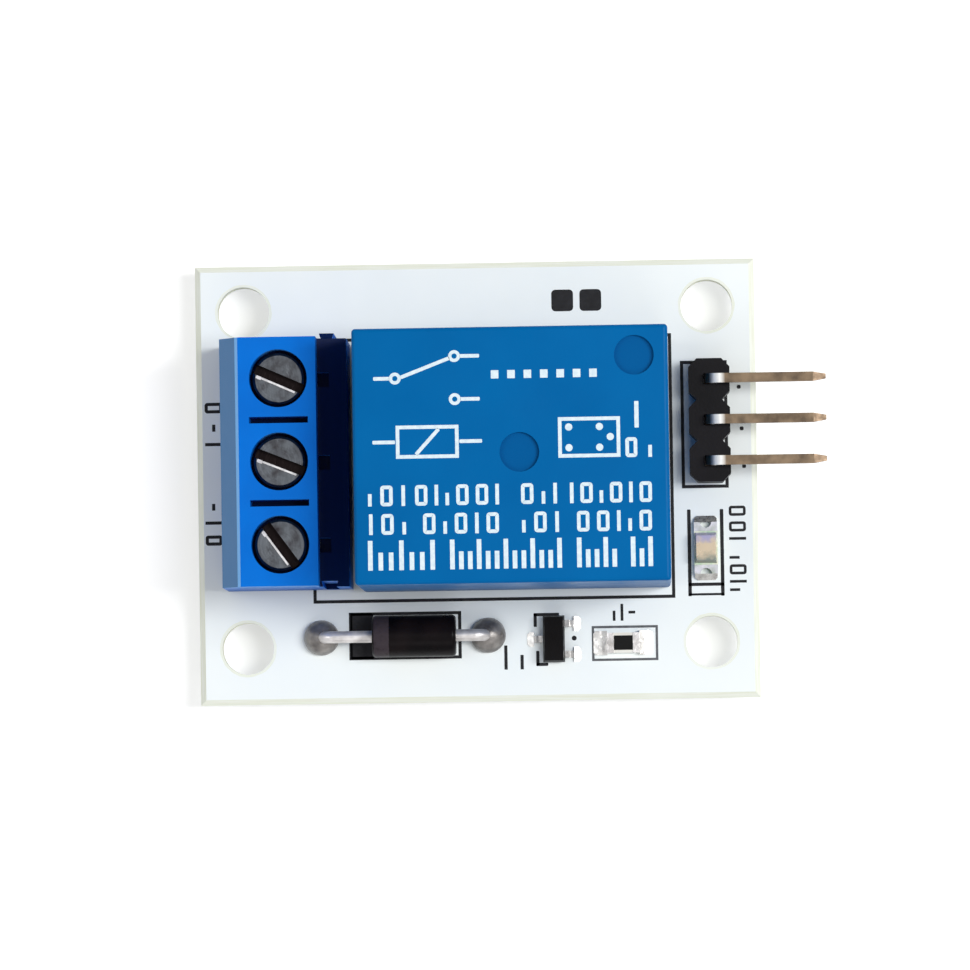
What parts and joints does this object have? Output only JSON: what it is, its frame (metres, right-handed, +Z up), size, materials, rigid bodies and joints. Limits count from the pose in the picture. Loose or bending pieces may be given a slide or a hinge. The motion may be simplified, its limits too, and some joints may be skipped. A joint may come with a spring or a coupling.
{
  "type": "relay module board",
  "caption": "Small white circuit board with a blue cube relay, a blue screw terminal block, a bent pin header and chip parts, for switching a load from a logic signal.",
  "frame": {"origin": "centre of the four mounting holes on the underside of the board", "axes": "+X from the terminal block to the pin header, +Z up out of the component side"},
  "size_m": [0.0391, 0.0272, 0.0186],
  "materials": {
    "solder_resist": "white solder resist over glass-epoxy laminate",
    "block_blue": "moulded nylon, semi-gloss",
    "zinc_steel": "zinc plated, worn bright at the slot edges",
    "plated_brass": "nickel plated",
    "tinned_copper": "tin plated",
    "case_blue": "moulded polyester, satin top and glossy sides",
    "black_moulding": "glass-filled moulding",
    "magnet_steel": "nickel plated soft iron",
    "copper_wire": "enamelled copper wire",
    "contact_brass": "rolled strip",
    "contact_silver": "silver alloy",
    "header_plating": "tarnished gold flash",
    "black_epoxy": "moulded epoxy",
    "ceramic_white": "alumina",
    "lamp_laminate": "cream laminate",
    "clear_resin": "clear moulded resin",
    "solder": "tin solder"
  },
  "bodies": {
    "module": {"circuit_board": "solder_resist", "terminal_housing": "block_blue", "terminal_contact_1": "tinned_copper", "terminal_contact_2": "tinned_copper", "terminal_contact_3": "tinned_copper", "relay_cover": "case_blue", "relay_base": "black_moulding", "relay_yoke": "magnet_steel", "relay_core": "magnet_steel", "relay_bobbin": "black_moulding", "relay_coil": "copper_wire", "relay_common_pin": "contact_brass", "relay_coil_pin_1": "tinned_copper", "relay_coil_pin_2": "tinned_copper", "relay_open_contact": "contact_brass", "relay_closed_contact": "contact_brass", "header_body": "black_moulding", "header_pin_1": "header_plating", "header_pin_2": "header_plating", "header_pin_3": "header_plating", "diode_body": "black_epoxy", "diode_lead_1": "tinned_copper", "diode_lead_2": "tinned_copper", "transistor_body": "black_epoxy", "transistor_lead_1": "tinned_copper", "transistor_lead_2": "tinned_copper", "transistor_lead_3": "tinned_copper", "resistor_body": "ceramic_white", "resistor_film": "black_epoxy", "resistor_caps": "tinned_copper", "lamp_base": "lamp_laminate", "lamp_terminals": "tinned_copper", "lamp_chip": "contact_silver", "lamp_lens": "clear_resin", "block_solder": "solder", "relay_solder": "solder", "header_solder": "solder", "diode_solder": "solder", "transistor_solder": "solder", "resistor_solder": "solder", "lamp_solder": "solder"},
    "screw_1": {"clamp_screw_1": "zinc_steel"},
    "cage_1": {"clamp_cage_1": "plated_brass"},
    "screw_2": {"clamp_screw_2": "zinc_steel"},
    "cage_2": {"clamp_cage_2": "plated_brass"},
    "screw_3": {"clamp_screw_3": "zinc_steel"},
    "cage_3": {"clamp_cage_3": "plated_brass"},
    "armature": {"relay_armature": "magnet_steel", "relay_leaf_spring": "contact_brass", "relay_moving_contact": "contact_silver"}
  },
  "joints": [
    {"name": "screw_turn_1", "type": "hinge", "parent": "module", "child": "screw_1", "pos_m": [-0.0119, 0.00583, 0.0096], "axis": [0, 0, -1], "range_deg": [0, 1440]},
    {"name": "cage_rise_1", "type": "slide", "parent": "module", "child": "cage_1", "axis": [0, 0, 1], "range_m": [0, 0.0018]},
    {"name": "screw_turn_2", "type": "hinge", "parent": "module", "child": "screw_2", "pos_m": [-0.0119, 0.00075, 0.0096], "axis": [0, 0, -1], "range_deg": [0, 1440]},
    {"name": "cage_rise_2", "type": "slide", "parent": "module", "child": "cage_2", "axis": [0, 0, 1], "range_m": [0, 0.0018]},
    {"name": "screw_turn_3", "type": "hinge", "parent": "module", "child": "screw_3", "pos_m": [-0.0119, -0.00433, 0.0096], "axis": [0, 0, -1], "range_deg": [0, 1440]},
    {"name": "cage_rise_3", "type": "slide", "parent": "module", "child": "cage_3", "axis": [0, 0, 1], "range_m": [0, 0.0018]},
    {"name": "armature_swing", "type": "hinge", "parent": "module", "child": "armature", "pos_m": [0.009, 0.0007, 0.0132], "axis": [0, -1, 0], "range_deg": [0, 2.2], "stiffness_Nm_per_rad": 0.02, "springref_deg": -2.86}
  ],
  "couplings": [
    {"joint": "screw_turn_1", "follows": "cage_rise_1", "rad_per_m": 13963},
    {"joint": "screw_turn_2", "follows": "cage_rise_2", "rad_per_m": 13963},
    {"joint": "screw_turn_3", "follows": "cage_rise_3", "rad_per_m": 13963}
  ]
}
